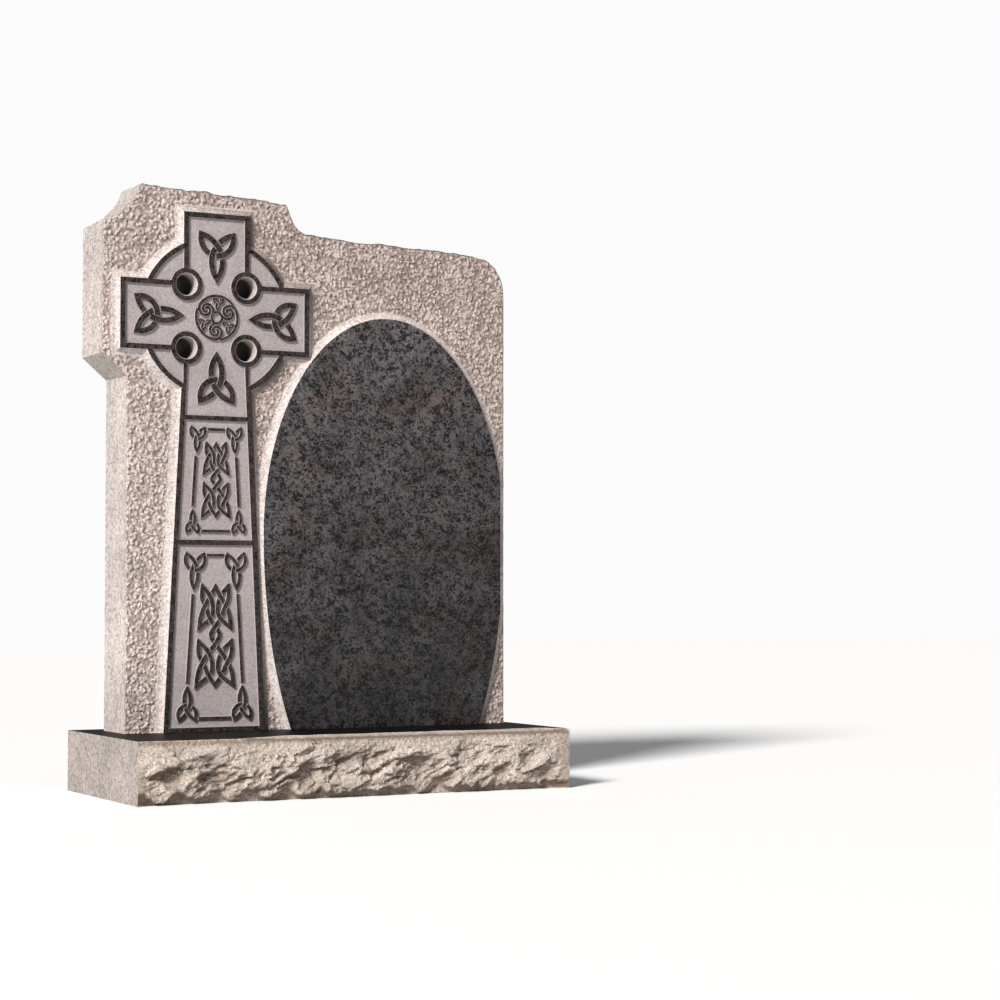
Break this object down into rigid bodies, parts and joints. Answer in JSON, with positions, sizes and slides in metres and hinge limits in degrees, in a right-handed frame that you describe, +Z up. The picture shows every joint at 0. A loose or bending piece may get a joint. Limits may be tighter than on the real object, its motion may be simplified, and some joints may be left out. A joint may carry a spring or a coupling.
{
  "type": "celtic cross headstone",
  "caption": "Upright stone grave marker with a raised knotwork cross beside an oval inscription face, standing on a rock-faced stone base.",
  "frame": {"origin": "middle of the base's underside", "axes": "+X to the viewer's right along the front, +Y from the carved front to the back, +Z up"},
  "size_m": [0.762, 0.3619, 1.003],
  "materials": {
    "headstone": "grey-brown granite: punched ground, blasted pale fields, dark polished borders, strands and oval",
    "base": "the same granite: rock-pitched front, fine-tooled ends, dark polished top"
  },
  "bodies": {
    "root": {"headstone": "headstone", "base": "base"}
  },
  "joints": []
}
